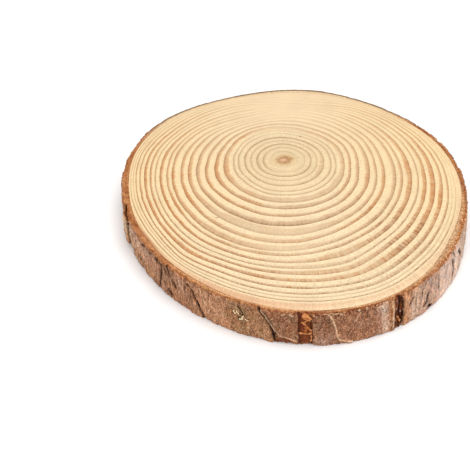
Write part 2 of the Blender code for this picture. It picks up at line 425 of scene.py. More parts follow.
# Pine end grain, sawn and sanded, bare: cream spring wood that darkens over each year to a fine
# brown line, with a soft matt surface and faint rays that run out from the pith.
pineLook = {
    "springWood": "#e8cfa7",
    "springSide": "#edcf9b",
    "paleBand": "#c39f79",
    "warmBand": "#c28650",
    "yearLine": "#765530",
    "warmLine": "#9c643a",
    "youngEdge": "#d4a57d",
    "youngPale": "#eed3ab",
    "core": "#d2b98b",
    "pith": "#a5713f",
    "pithHalo": "#c79a63",
    "pithMiddle": "#d5ab86",
    "fleck": "#7a4a28",
    "dash": "#74482a",
    "roughness": 0.6,
    "specular": 0.35,
    "bump": (0.3, 0.00006),  # strength, height in metres
}

# Round spots on the sawn face: the pith, brown about its paler middle, then dark flecks. Degrees and
# distance from the pith, length, width, lean, colour, how far out it is full, and how strong it is.
spots = (
    (0, 0.1, 8.6, 8, 0, "pithHalo", 0.2, 0.45),
    (0, 0.1, 5.6, 5.2, 0, "pith", 0.35, 0.8),
    (180, 0.2, 2.8, 2.3, 0, "pithMiddle", 0.35, 0.9),
    (229, 28.4, 1.6, 0.3, 55, "fleck", 0.5, 0.8),
    (62, 11.3, 1.3, 0.35, -20, "fleck", 0.5, 0.8),
    (203, 33.2, 1, 0.3, 10, "fleck", 0.5, 0.8),
)


# The band starts where the latewood does, and the year line ends each ring. Both are broken up by
# the rays and by single grains. Gives the colour and the band's share.
def yearColor(add, place, speckle, rays, hatch):
    phase, bandStart, tone = add("SeparateXYZ", {0: add("Attribute", attribute_name="year")["Vector"]})
    mottle = add("TexNoise", {"Vector": place, "Scale": 160, "Detail": 4})["Fac"]
    speckleRise, wideCut, shade = (
        add("MapRange", {"Value": value, "From Min": 0.3, "From Max": 0.7, "To Min": low, "To Max": high})[0]
        for value, low, high in ((speckle, -0.16, 0.16), (rays[1], 1.15, 0.85), (mottle, 1.03, 0.95))
    )
    rayCut = add("MapRange", {
        "Value": rays[0], "From Min": 0.41, "From Max": 0.59, "To Min": 1.2, "To Max": 0.5,
    })[0]
    rayCut = add("Mix", {"Factor": hatch, 2: 1, 3: rayCut})[0]
    for factor in (wideCut, rayCut):
        tone = add("Math", {0: tone, 1: factor}, operation="MULTIPLY")[0]
    soft = add("Math", {0: phase, 1: speckleRise}, operation="ADD")[0]
    past = add("Math", {0: soft, 1: bandStart}, operation="SUBTRACT")[0]
    names = ("spring", "band", "line")
    spring, band, line = (add("Attribute", attribute_name=name)["Color"] for name in names)
    color = add("VectorMath", {0: spring, "Scale": shade}, operation="SCALE")[0]
    shares = []
    for value, start, full, most, tint in ((past, -0.03, 0.12, 1, band), (soft, 0.74, 0.98, 0.76, line)):
        share = add("MapRange", {
            "Value": value, "From Min": start, "From Max": full, "To Max": most,
        }, interpolation_type="SMOOTHSTEP")[0]
        share = add("Math", {0: share, 1: tone}, operation="MULTIPLY", use_clamp=True)[0]
        color = add("Mix", {"Factor": share, 6: color, 7: tint}, data_type="RGBA")[2]
        shares.append(share)
    return color, shares[0]


def scoredColor(add, color, grain, scored, bandShare):  # dark dashes where the saw scored hard wood
    drawn = add("Mapping", {"Vector": grain, "Scale": (105, 105, 6)})[0]
    dash = add("TexNoise", {"Vector": drawn, "Scale": 1, "Detail": 1})["Fac"]
    dash = add("MapRange", {"Value": dash, "From Min": 0.47, "From Max": 0.56, "To Max": 0.8})[0]
    for share in (scored, bandShare):
        dash = add("Math", {0: dash, 1: share}, operation="MULTIPLY")[0]
    return add("Mix", {"Factor": dash, 6: color, 7: (*linear(pineLook["dash"]), 1)}, data_type="RGBA")[2]


def spottedColor(add, color, place):
    ragged = add("TexNoise", {"Vector": place, "Scale": 900, "Detail": 2})["Fac"]
    for turn, fromPith, length, width, lean, name, full, most in spots:
        centre = pith + Vector(placesAt(turn, fromPith) * mm)
        moved = add("VectorMath", {0: place, 1: centre}, operation="SUBTRACT")[0]
        turned = add("Mapping", {
            "Vector": moved, "Rotation": (0, 0, -math.radians(lean)),
            "Scale": (2 / (length * mm), 2 / (width * mm), 0),
        })[0]
        away = add("VectorMath", {0: turned}, operation="LENGTH")["Value"]
        away = add("Math", {0: ragged, 1: 0.7, 2: away}, operation="MULTIPLY_ADD")[0]
        share = add("MapRange", {
            "Value": away, "From Min": 1.35, "From Max": full + 0.35, "To Max": most,
        }, interpolation_type="SMOOTHSTEP")[0]
        tint = (*linear(pineLook[name]), 1)
        color = add("Mix", {"Factor": share, 6: color, 7: tint}, data_type="RGBA")[2]
    return color


def pineMaterial():
    material, add = newMaterial("sandedPineEndGrain")
    place = add("TexCoord")["Object"]
    grain = add("Attribute", attribute_name="grain")["Vector"]
    hatch, gritShare, scored = add("SeparateXYZ", {0: add("Attribute", attribute_name="grit")["Vector"]})

    # Rays and saw strokes: noise drawn out along the radius, 0.4 mm wide near the bark.
    rays = []
    for size, depth in ((105, 7), (30, 2)):
        drawn = add("Mapping", {"Vector": grain, "Scale": (size, size, depth)})[0]
        rays.append(add("TexNoise", {"Vector": drawn, "Scale": 1, "Detail": 2})["Fac"])
    speckle = add("TexNoise", {"Vector": place, "Scale": 2100, "Detail": 2, "Roughness": 0.7})["Fac"]
    color, bandShare = yearColor(add, place, speckle, rays, hatch)
    color = scoredColor(add, color, grain, scored, bandShare)
    color = spottedColor(add, color, place)

    # Sanding dust and open cells, as light and dark grains of about half a millimetre, and the rays.
    for value, share, low, high in ((speckle, gritShare, 0.82, 1.12), (rays[0], hatch, 1.1, 0.88)):
        gain = add("MapRange", {
            "Value": value, "From Min": 0.3, "From Max": 0.7, "To Min": low, "To Max": high,
        })[0]
        gain = add("Mix", {"Factor": share, 2: 1, 3: gain})[0]
        color = add("VectorMath", {0: color, "Scale": gain}, operation="SCALE")[0]
    setSurface(add, color, pineLook, speckle)
    return material


# Cracks of the bark, as lines on its unrolled outside: width and depth in mm, then points of
# degrees and height above the base in mm. Those of the far side follow below by a rule. Each is cut in and
# painted dark inside as painted shade.
cracks = [
    (0.35, 0.5, ((208.4, 9.2), (212, 9.35), (215.5, 9.1), (219, 9.3), (222.5, 9.2))),
    (0.5, 0.4, ((213.7, 2.3), (213.3, 0.9))),
    (0.7, 0.6, ((223.7, 9.5), (225.2, 9.2), (226.6, 8.9), (228.2, 9.1))),
    (0.6, 0.7, ((227.6, 8.3), (227.1, 5.4), (226, 1.2))),
    (0.8, 0.9, ((230.6, 9.7), (231.6, 7.6), (232.6, 6.2), (233.3, 4.6))),
    (0.5, 0.5, ((229.6, 8.6), (230.6, 6.6))),
    (0.8, 0.5, ((229.8, 2.2), (231.2, 0.9))),
    (0.4, 0.3, ((254.2, 6.6), (254.9, 6.3))),
    (0.4, 0.3, ((253.6, 5.1), (254.2, 4.9))),
    (0.62, 0.9, ((238.8, 8.6), (240.2, 6.4), (241.2, 4.6), (242.2, 2.4), (243.5, 0))),
    (0.3, 0.25, ((254, 8.8), (254.8, 7.2), (255.2, 6.2))),
    (0.5, 0.7, ((258.9, 9.8), (260.4, 7.2), (261.2, 5.1), (262.1, 2.4), (262.3, 0.4))),
    (0.4, 0.5, ((260.2, 8.6), (261.6, 4.9), (262.7, 2.8))),
    (0.4, 0.6, ((289.9, 9.4), (290, 4.6), (290.1, 0.3))),
    (0.55, 1.1, ((290.9, 9.6), (291.2, 7.1), (290.8, 5.1), (291.2, 2.3), (290.8, 0.3))),
    (0.4, 0.7, ((291.8, 8.6), (292, 6), (291.9, 3), (291.6, 0.8))),
    (0.4, 0.35, ((294.6, 7.4), (294, 5.6))),
    (0.35, 0.25, ((298.8, 9), (297.5, 7.7), (297.3, 6))),
    (0.8, 0.7, ((299.6, 5), (299.2, 3.1), (298.4, 2.2))),
    (0.9, 0.6, ((300, 1), (300.8, 0.4))),
    (0.5, 0.4, ((303.5, 6.8), (303.8, 3.6))),
    (0.3, 0.3, ((310.4, 9.7), (312.6, 6.6))),
    (0.8, 0.7, ((310.1, 7.8), (311.6, 4.6), (311.2, 1.4))),
    (0.85, 0.8, ((314.6, 7.6), (316, 5.6), (317.2, 3.9))),
    (0.4, 0.5, ((331, 4.6), (333, 1))),
]

# A slit where a flake parts from the rim, cut in and painted dark as shade: width, depth, then degrees and mm
# in from the edge.
rimSlits = ((0.35, 1.5, ((197, 0.55), (201, 0.5), (204, 0.4), (206, 0))),)

# The flake that stands off there: how far, how many degrees wide, and its free edge as above.
flake = (0.65, 8, ((206, 10), (205, 8), (204.6, 6.5), (203.4, 3), (202, 0)))

# Torn edges that stand up as pale lines: width, height, then points as above.
tornEdges = (
    (0.3, 0.14, ((259.4, 9.6), (260.9, 6.4), (261.9, 4.2), (263.6, 2.4), (265.6, 1.6), (267.2, 1.1))),
    (0.32, 0.13, ((274, 9.8), (274.7, 9.3), (275.3, 8.1), (275.9, 5.3), (276.2, 2.6), (276.8, 1.3),
                  (278.2, 0.6), (279.6, 0.2))),
    (0.36, 0.12, ((276.4, 2.2), (276.8, 1.3), (278.2, 0.6), (279.6, 0.3))),
    (0.25, 0.08, ((273.2, 9.7), (274.6, 9.8), (276.6, 9.6))),
    (0.16, 0.05, ((280.3, 6.4), (281.4, 9))),
    (0.25, 0.1, ((288.9, 9.4), (289.3, 5), (289.1, 1))),
    (0.22, 0.08, ((299.5, 9.2), (298.2, 7.8), (298, 6.2))),
    (0.2, 0.08, ((306.5, 9), (305, 5), (304.6, 2))),
    (0.2, 0.08, ((242.5, 9.4), (244.5, 5))),
    (0.2, 0.07, ((219, 8.9), (220.8, 7.2))),
    (0.18, 0.06, ((223.4, 8.3), (224.6, 6.2))),
    (0.18, 0.06, ((212.4, 9), (213.8, 6.2))),
    (0.18, 0.06, ((235.2, 8.4), (236.4, 6.2))),
)

# Where the outer bark has come away and the fibrous inner bark shows: degrees, half width,
# middle height, half height, depth, and how orange it is.
openGaps = (
    (269.3, 1.75, 5, 5.6, 0.75, 0.7),
    (290.8, 1.15, 5, 5.6, 0.7, 0.3),
    (264.3, 1.9, 0.8, 1.1, 0.2, 0.8),
)

barkBand = {
    "sides": 1400,
    "wallRows": 50,
    "topRows": 9,
    "baseRows": 4,
    "leastThickness": 0.3,
    "dent": 0.2,
    "flakeSteps": ((0.3, 0.2, 0.6), (0.55, 0.13, 0.4)),  # flakes per mm, thickness in mm, share of red
    "grain": 0.08,
    "tuck": 0.15,  # reaches this far under the edge of the wood, so that no slit shows
    "seed": 7,
}

barkLook = {
    "plate": "#9c6f56",
    "plateDark": "#6f4731",
    "plateLight": "#c09478",
    "flakeRed": "#a8613a",
    "layerPale": "#d8b193",
    "paleBit": "#efcfa8",
    "ashGrey": "#c0b2ab",
    "palePink": "#e4bdab",
    "paleGrain": "#cdb4a2",
    "rim": "#ab6d40",
    "rimPale": "#c99a6e",
    "rimDark": "#7d4a28",
    "rimRed": "#84451f",
    "rimLayer": "#cf9a66",
    "rimShade": "#6f3a1d",
    "farRim": "#dcbf96",
    "farEdge": "#7f694d",
    "innerBark": "#c0773c",
    "innerBarkDark": "#6a2c10",
    # painted shade: the near-black inside deep cracks, slits and gaps, where little light reaches
    "crack": "#260d06",
    "tornEdge": "#efc6a0",
    "roughness": 0.9,
    "specular": 0.05,
    "bump": (0.7, 0.00015),
}

# Stretches of the outside with a colour of their own: degrees, half width, colour, strength.
barkPatches = (
    (203, 5, "#c5a57d", 0.8), (209, 3, "#c1a180", 0.5), (214, 6, "#bd8f6a", 0.7), (222, 6, "#a87e5a", 0.8),
    (313, 3, "#eacdb7", 0.9), (319, 4, "#d2bba5", 0.9), (327, 5, "#c49f7b", 0.8), (336, 6, "#b28155", 0.85),
)

# Plates in front: left and right edge, each as degrees and heights, then colour, lift in mm, and how
# soft its edge is in degrees. Three of the edges are shared by two plates.
oliveLine = ((251, 10), (250, 5), (252, 0))
archLine = ((273.6, 9.9), (274.7, 9.3), (275.3, 8.1), (275.9, 5.3), (276.2, 2.6), (276.8, 1.3), (279.6, 0.2))
wornLine = ((303.6, 10), (303.8, 5), (303.2, 0))
plates = [
    (((227.5, 10), (227, 0)), ((238.8, 8.6), (243.5, 0)), "#9c7153", 0.05, 0.2),
    (((238.8, 8.6), (241.2, 4.6), (243.5, 0)), oliveLine, "#b48563", 0, 0.5),
    (oliveLine, ((258.9, 9.8), (260.4, 7.2), (261.2, 5.1), (262.3, 0)), "#916e4c", 0.03, 0.25),
    (((258.9, 9.8), (261.2, 5.1), (262.3, 0)), ((267.5, 10), (267.6, 0)), "#7d563b", 0, 0.15),
    (((271, 10), (271, 0)), archLine, "#785438", 0.06, 0.15),
    (archLine, ((285, 10), (285.4, 0)), "#8a5f42", 0, 0.15),
    (((285.6, 10), (286.4, 5), (287, 0)), ((287.9, 10), (287.6, 0)), "#cdb5a0", -0.05, 0.7),
    (((288, 10), (288.3, 0)), ((289.7, 10), (289.8, 0)), "#a9713f", 0.05, 0.3),
    (((292, 10), (291.7, 0)), ((293.9, 10), (293.5, 0)), "#b88457", 0.05, 0.3),
    (((294.2, 7), (293.5, 0)), ((296.8, 9), (296.4, 5), (297, 0)), "#c6a78d", 0, 0.7),
    (((296.6, 9), (296.4, 5), (297, 0)), wornLine, "#bc9b83", 0.05, 0.5),
    (wornLine, ((310.5, 10), (311.6, 4.6), (311.2, 0)), "#d7bdaa", 0, 0.5),
]

# Patches on the outside, weathered ones and, near the top rim in front, dark ones of painted shade: degrees,
# height, half width in degrees, half height in mm, colour, strength.
barkStains = (
    (202, 7.8, 3.5, 3.6, "#f0cfaa", 1), (211.5, 7.8, 5.5, 2.8, "#dbb49b", 1),
    (202, 3, 2.6, 4, "#bb8f68", 0.7), (220.5, 7.8, 5.5, 2.8, "#bf9780", 0.85),
    (233, 7.6, 4, 3, "#a67a5c", 0.4), (235.5, 7.6, 1.8, 2, "#b5917c", 0.6),
    # the dark patch at 273 degrees near the top is painted shade under the rim
    (273, 7.6, 2.2, 2.6, "#6f4833", 0.65), (273.4, 1.6, 2.6, 2.2, "#a98b7c", 0.65),
    (289, 2.2, 1, 3, "#724828", 1), (287.2, 2, 0.8, 2.5, "#dcbea8", 0.6),
    (295.6, 8.2, 1.2, 2.2, "#cf9c74", 0.6), (293, 8.8, 1.2, 2.2, "#d19363", 0.6),
    (299.8, 7.2, 1.6, 2.4, "#9c7868", 0.55), (296, 2.2, 1, 2, "#dcc8b8", 0.2),
    (307, 6, 1, 3, "#c3a191", 0.5), (313, 7.5, 1.8, 4.5, "#fbe0c9", 0.85), (325, 2, 3, 3, "#8d745c", 0.85),
    # the dark patch at 264.8 degrees near the top is painted shade under the rim
    (325, 8, 3, 2.5, "#c99760", 0.6), (264.8, 8, 1.4, 2.2, "#6f4530", 0.4),
    (279.5, 5.5, 2.2, 3.2, "#8a6350", 0.4),
)

farTints = ("#9a6c52", "#8a5f49", "#b08664", "#a77b60", "#c2a083", "#7f5a47", "#a6714f")


def turnAt(height, points):  # degrees where a line from top to base passes a height
    turns, heights = zip(*sorted(points, key=lambda point: point[1]))
    return np.interp(height, heights, turns)


def farBark():  # plates and cracks of the side that faces away, by a seeded rule with the same habit
    draw = np.random.default_rng(barkBand["seed"])
    edges = []
    turn = 338
    while turn < 562:
        lean = draw.uniform(-1.8, 1.8)
        middle = (turn + draw.uniform(-0.8, 0.8), draw.uniform(3, 7))
        edges.append(((turn - lean, 10), middle, (turn + lean, 0)))
        turn += draw.choice((3, 5.5, 8, 12)) * draw.uniform(0.8, 1.2)
    farPlates = []
    for left, right in zip(edges, edges[1:]):
        tint = farTints[draw.integers(len(farTints))]
        farPlates.append((left, right, tint, draw.uniform(-0.08, 0.1), draw.choice((0.2, 0.2, 0.8))))
    farCracks = []
    for edge in edges:
        high, low = draw.choice(((10, 0), (10, 4.5), (9, 3), (6, 0))) + draw.uniform(-0.5, 0.5)
        width = draw.choice((0.3, 0.4, 0.6, 0.95))
        if draw.uniform() < 0.7:
            points = [(turnAt(height, edge), height) for height in np.linspace(high, low, 4)]
            farCracks.append((width, width * draw.uniform(0.7, 1.1), points))
    return farPlates, farCracks


# The outline of the bark, by degrees and by length in mm.
outlineTurn = np.linspace(0, 360, 3601)
outlineSteps = np.diff(placesAt(outlineTurn, outerRadius(outlineTurn)), axis=0)
outlineLength = np.concatenate([[0], np.cumsum(np.linalg.norm(outlineSteps, axis=1))])


def lineDistance(around, upward, points):  # mm on the unrolled outside, to a bent line
    nearest = np.full(len(around), 1e3)
    lap = outlineLength[-1]
    for (turnA, heightA), (turnB, heightB) in zip(points, points[1:]):
        startX, endX = (np.interp(turn % 360, outlineTurn, outlineLength) for turn in (turnA, turnB))
        dx, dy = (endX - startX + lap / 2) % lap - lap / 2, heightB - heightA
        ox, oy = (around - startX + lap / 2) % lap - lap / 2, upward - heightA
        along = np.clip((ox * dx + oy * dy) / (dx * dx + dy * dy), 0, 1)
        nearest = np.minimum(nearest, np.hypot(ox - along * dx, oy - along * dy))
    return nearest


def barkPoints():  # the band's mesh, and what is known of each of its points
    # Rows run up the outside, across the upper rim to the wood, and back along the lower rim.
    wallRows, topRows, baseRows = (barkBand[name] for name in ("wallRows", "topRows", "baseRows"))
    rows = [(0, step / wallRows) for step in range(wallRows + 1)]
    rows += [(1, (step + 1) / topRows) for step in range(topRows)]
    rows += [(2, 1 - step / baseRows) for step in range(baseRows + 1)]
    mesh, row, evenTurn = latticeMesh("barkBand", len(rows), barkBand["sides"])
    part, share = np.array(rows, float)[row].T
    thickness = stem["thickness"]

    at = SimpleNamespace(part=part, share=share, onWall=part == 0)
    at.around = evenTurn / 360 * outlineLength[-1]  # columns are spread evenly along the outline
    at.turn = np.interp(at.around, outlineLength, outlineTurn)
    at.outer = outerRadius(at.turn)
    at.inner = woodRadius(at.turn)
    at.wallHeight = np.where(at.onWall, share * thickness, np.where(part == 1, thickness, 0))
    at.rimShare = np.where(at.onWall, 0, share)
    at.fromEdge = at.rimShare * (at.outer - at.inner)  # mm in from the edge, on the rims
    at.nearTop = ease(thickness - 0.9, thickness, at.wallHeight)
    at.nearBase = ease(0.9, 0, at.wallHeight)
    at.calm = ease(10, 40, at.turn) * ease(165, 135, at.turn)  # the smoother side
    at.calmEdge = np.where(at.turn > 180, ease(322, 345, at.turn), ease(175, 145, at.turn))
    at.worn = swell(at.turn, 313, 22)  # the weathered, smoother stretch on the right

    at.spot = placesAt(at.turn, at.outer, at.wallHeight)
    at.coarse = noiseAt(at.spot, 0.3)
    at.medium = noiseAt(at.spot, 0.9, (7, 3, 1))
    at.rough = noiseAt(at.spot, (2.4, 2.4, 1.44), (1, 9, 4))
    at.wander = noiseAt(at.spot, 1.1, (20, 2, 5))
    at.ridges = noiseAt(at.spot, (1.5, 1.5, 0.3), (5, 5, 8))
    return mesh, at


def shapeFlakes(at):  # dents, flakes and thin layers, in mm out from the outline
    dent = barkBand["dent"]
    offset = at.coarse * dent + (at.medium * 0.35 + at.ridges * 0.5) * dent + at.rough * barkBand["grain"]
    at.flakeMask, at.flakeEdge = np.zeros((2, len(at.turn)))
    bent = at.spot + np.stack([at.coarse, at.medium, at.wander], -1) * 1.2
    for number, (scale, depth, share) in enumerate(barkBand["flakeSteps"]):
        field = noiseAt(bent, scale, (31 + 9 * number, 4, 9))
        step = ease(-0.02, 0.03, field)
        offset = offset - step * depth
        at.flakeMask += step * share
        # painted shade just below each flake's ledge
        at.flakeEdge = np.maximum(at.flakeEdge, hill(field, 0.02, 0.035))
    offset = offset * (1 - 0.9 * at.calm) * (1 - 0.6 * at.worn)

    stand, width, points = flake
    behind = turnAt(at.wallHeight, points) - at.turn
    offset = offset + stand * ease(-0.1, 0.25, behind) * ease(width, width / 2, behind)
    # the gap at the flake's free edge: pulled in, and painted dark as the shade on its end face
    at.flakeGap = hill(behind, -0.25, 0.45) * ease(9.9, 9, at.wallHeight)

    # The thin layers of a plate end in lines that run mostly upright.
    bent = at.spot * np.array((1, 1, 0.45)) + np.stack([at.rough, at.wander, at.medium], -1) * 0.12
    terrace = noiseAt(bent, 0.55, (2, 17, 6)) * 5
    terrace = terrace - np.floor(terrace)
    at.layerLine = hill(terrace, 0.5, 0.07)
    at.layerLight = hill(terrace, 0.66, 0.08)
    at.offset = offset - 0.07 * (ease(0.4, 0.6, terrace) - terrace) * (1 - at.calm)


def cutCracks(at, lines):  # how far each point is pulled in, and the painted shade inside the crack
    at.darkness, at.warmEdge, at.pull = np.zeros((3, len(at.turn)))
    at.room = np.maximum(at.outer - at.inner - barkBand["leastThickness"], 0.2)
    front = ease(275, 283, at.turn) * ease(300, 295, at.turn)
    for width, depth, points in lines:
        away = lineDistance(at.around, at.wallHeight, points)
        away = away + (at.wander * 0.16 + at.rough * 0.08) * min(1, width)
        cut = ease(width * 0.62, width * 0.25, away)
        at.pull = np.maximum(at.pull, cut * np.minimum(depth, at.room * 0.95))
        at.offset = at.offset - ease(width * 0.5 + 0.9, 0, away) * 0.1
        at.darkness = np.maximum(at.darkness, ease(width * 0.72, width * 0.4, away))
        if points[0][1] > 9.5 and width > 0.5:  # broad and from the top: in front, its edges are orange
            near = ease(width * 0.6 + 0.5, width * 0.6, away + at.rough * 0.3)
            at.warmEdge = np.maximum(at.warmEdge, near * front)
    at.pull = at.pull * (1 - 0.6 * np.maximum(at.nearTop, at.nearBase)) * (1 - 0.7 * at.calmEdge)


def cutGaps(at):
    at.gapMask, at.gapGlow, at.gapRim = np.zeros((3, len(at.turn)))
    for middle, halfWidth, midHeight, halfHeight, depth, glow in openGaps:
        sideways = np.abs(halfTurn(at.turn - middle)) / halfWidth
        upright = np.abs(at.wallHeight - midHeight) / halfHeight
        inside = ease(1, 0.82, np.maximum(sideways, upright) + at.wander * 0.15)
        deep = depth > 0.5
        at.gapMask = np.maximum(at.gapMask, inside * (1 if deep else 0.7))
        at.gapGlow = np.maximum(at.gapGlow, inside * glow)
        # painted shade along the steep sides of the deep gaps
        at.gapRim = np.maximum(at.gapRim, inside * ease(0.45, 0.75, sideways + 0.35 * at.rough) * deep)
        at.pull = np.maximum(at.pull, inside * np.minimum(depth, at.room * 0.9) * (0.75 + 0.5 * at.medium))


def raiseTornEdges(at):
    at.torn = np.zeros(len(at.turn))
    for width, stand, points in tornEdges:
        away = lineDistance(at.around, at.wallHeight, points) + at.rough * 0.06
        ridge = ease(width * 0.6, width * 0.25, away)
        at.offset = at.offset + ridge * stand
        at.torn = np.maximum(at.torn, ridge * (0.9 + 0.3 * at.medium))
        at.pull = at.pull * (1 - ridge)
        at.darkness = at.darkness * (1 - ridge)


def barkShape(at, plateLift):  # radius and height in mm, with chips along the sawn edges
    thickness = stem["thickness"]
    chipTop = 0.1 + 0.3 * ease(-0.1, 0.7, noiseAt(at.spot, (0.8, 0.8, 0), (3, 3, 3)))
    chipTop = chipTop * (1 - 0.85 * at.calmEdge)
    broad = noiseAt(at.spot, (0.2, 0.2, 0), (8, 1, 2))
    chipBase = 0.08 + 0.2 * ease(-0.2, 0.7, broad) + 0.03 * at.medium
    chipBase = chipBase * (1 - 0.8 * at.calm) * (1 - 0.6 * at.worn)
    offset = at.offset - np.maximum(at.pull, 0.5 * at.flakeGap)
    offset = offset - (at.nearTop * chipTop + at.nearBase * chipBase) * 0.9
    wall = np.maximum(at.outer + 0.1 + offset, at.inner + barkBand["leastThickness"])
    wall = wall + plateLift * (at.rimShare == 0)
    radius = wall + (at.inner - barkBand["tuck"] - wall) * at.rimShare

    uneven = (0.05 * at.medium + 0.03 * at.rough) * np.sin(np.pi * at.rimShare) * (1 - 0.85 * at.calmEdge)
    drop = np.where(at.part == 2, chipBase, chipTop) * 0.8 * (1 - at.rimShare) ** 2 + 0.05 + uneven
    at.slit = np.zeros(len(at.turn))
    for width, depth, points in rimSlits:
        away = lineDistance(at.around, at.fromEdge, points) + 0.05 * at.rough
        cut = ease(width * 0.6, width * 0.3, away) * (at.part == 1)
        at.slit = np.maximum(at.slit, cut)
        drop = drop + cut * depth
    drop = np.maximum(drop, 0.03)
    low, high = chipBase * 0.8 + 0.05, thickness - chipTop * 0.8 - 0.05
    onRims = np.where(at.part == 1, thickness - drop, drop)
    return radius, np.where(at.onWall, low + at.share * (high - low), onRims)


def paintAll(tint, layers):  # layers are colours of barkLook with their share at each point
    for name, share in layers:
        tint = paint(tint, barkLook[name], share)
    return tint


def plateTints(at, layout):  # the colour of each plate and patch, and how far a plate stands out
    tint = evenTint(barkLook["plate"], len(at.turn))
    for middle, halfWidth, hexColor, strength in barkPatches:
        tint = paint(tint, hexColor, strength * swell(at.turn + at.wander * 0.8, middle, halfWidth))
    plateLift = np.zeros(len(at.turn))
    for left, right, hexColor, lift, blur in layout:
        inside = np.ones(len(at.turn))
        for side, points in ((1, left), (-1, right)):
            past = side * halfTurn(at.turn - turnAt(at.wallHeight, points))
            inside = inside * ease(-blur, blur, past + (at.wander * 0.25 + at.rough * 0.4) * blur)
            inside = inside * (past > -90)
        tint = paint(tint, hexColor, inside * 0.92)
        plateLift = plateLift + inside * lift
    for middle, midHeight, halfWidth, halfHeight, hexColor, strength in barkStains:
        upright = hill(at.wallHeight + 0.8 * at.rough, midHeight, halfHeight)
        tint = paint(tint, hexColor, strength * swell(at.turn + 0.6 * at.medium, middle, halfWidth) * upright)
    return tint, plateLift


def wallTints(at, tint):  # what weather, flakes, cracks and gaps add to the outside
    turn, medium, rough, wander, worn = at.turn, at.medium, at.rough, at.wander, at.worn
    streaks = 0.28 - 0.2 * worn
    tint = paintAll(tint, (
        ("plateDark", ease(0.05, 0.55, at.ridges + 0.3 * medium) * streaks),
        ("plateLight", ease(0.05, 0.55, -at.ridges + 0.4 * rough) * streaks),
        ("flakeRed", at.flakeMask * 0.3 * (1 - 0.7 * worn)),
        ("ashGrey", worn * ease(0, 0.4, medium + 0.6 * at.ridges) * 0.65),
        ("palePink", worn * ease(0, 0.4, -medium - 0.4 * wander) * 0.5),
        # painted shade below the flake ledges
        ("plateDark", at.flakeEdge * 0.35 * (1 - 0.5 * worn)),
        ("plateDark", at.layerLine * ease(-0.35, 0.2, medium) * 0.45),
        ("layerPale", at.layerLight * ease(0.35, -0.2, medium) * 0.4),
    ))
    tint = tint * (1 + (0.14 * rough + 0.08 * medium) * (1 - 0.5 * worn))[:, None]
    # the worn stretch on the right a little brighter and warmer: partly its own colour, partly painted light
    # for the more strongly lit right side
    tint = tint * (1 + worn[:, None] * np.array((0.05, 0.02, 0.01)))
    tint = tint * (1 - swell(turn, 276, 18)[:, None] * np.array((0, 0.04, 0.09)))
    tint = tint * (1.13 - 0.022 * at.wallHeight)[:, None]  # painted light: paler towards the lower edge, darker towards the top
    edges = np.clip(at.nearTop * 0.9 + at.nearBase * 0.6, 0, 1)
    teeth = noiseAt(at.spot, 1.7, (9, 9, 2))
    fromTop = stem["thickness"] - at.wallHeight
    tornRim = ease(1.5, 0.6, fromTop - 0.5 * medium) * swell(turn, 276, 15)
    bits = ease(0.3, 0.5, noiseAt(at.spot, 2.6, (4, 4, 1))) * at.gapMask * swell(turn, 291, 2)
    return paintAll(tint, (
        # along the sawn edges: dark bits, partly painted shade under the rim, and the orange inner bark
        ("innerBarkDark", edges * ease(0, 0.4, -wander - 0.3 * rough) * 0.6),
        ("innerBark", edges * ease(-0.1, 0.4, wander) * 0.7),
        ("innerBarkDark", tornRim * ease(0, 0.2, teeth) * 0.9),
        ("paleBit", tornRim * ease(0.32, 0.5, -teeth) * 0.55),
        ("innerBark", at.warmEdge * ease(-0.2, 0.3, medium) * 0.65),
        ("innerBarkDark", at.gapMask * 0.9),
        ("innerBark", at.gapGlow * ease(0.1, 0.6, rough + medium) * ease(267.9, 269.2, turn)),
        # painted shade on the sides of the deep gaps
        ("crack", at.gapRim * np.where(turn < 280, 0.6, 0.45)),
        ("palePink", bits * 0.6),
        # painted shade inside the cracks
        ("crack", at.darkness * (0.85 + 0.15 * ease(0.25, -0.25, rough))),
        # painted shade at the flake's free edge
        ("crack", at.flakeGap * at.onWall),
        ("tornEdge", at.torn),
    ))


# The rim on the sawn faces: orange brown, paler next to the wood in front, thin on the calm side.
def rimTints(at):
    turn, rough, wander, rimShare, calm = at.turn, at.rough, at.wander, at.rimShare, at.calm
    front = swell(turn, 268, 34)
    speckled = 0.25 + 0.75 * swell(turn, 318, 22)
    layers = turnNoise(turn, 7, at.fromEdge * 2.4)
    patch = turnNoise(turn, 30, at.fromEdge * 1.2)
    fingers = turnNoise(turn, 55, rimShare * 0.6)
    dots = turnNoise(turn, 48, at.fromEdge, 2.6)
    ragged = ease(0.15, 0.75, rimShare + 0.3 * fingers + 0.5 * dots - 0.1) * swell(turn, 316, 18)
    return paintAll(evenTint(barkLook["rim"], len(turn)), (
        ("rimPale", front * ease(0.35, 0.6, rimShare + 0.2 * wander) * 0.9),
        ("rimPale", ease(0.1, 0.6, rough + 0.5 * at.medium) * 0.6 * speckled),
        ("rimDark", ease(0.4, 0, rimShare + 0.35 * wander) * 0.5),
        ("rimDark", ease(0.2, 0.6, at.ridges) * 0.5 * speckled),
        ("rimRed", ease(0, 0.4, layers + 0.5 * patch) * 0.75),
        ("rimLayer", ease(0.1, 0.5, -layers + 0.4 * patch) * 0.45),
        ("rimShade", front * ease(-0.1, 0.3, patch) * ease(0.6, 0.2, rimShare) * 0.8),
        ("farRim", ragged * 0.6),
        ("innerBark", swell(turn, 322, 14) * ease(0.2, -0.3, dots) * 0.45),
        ("farRim", calm * ease(0.3, 0.6, rimShare)),
        ("farEdge", calm * ease(0.6, 0.25, rimShare)),
    ))


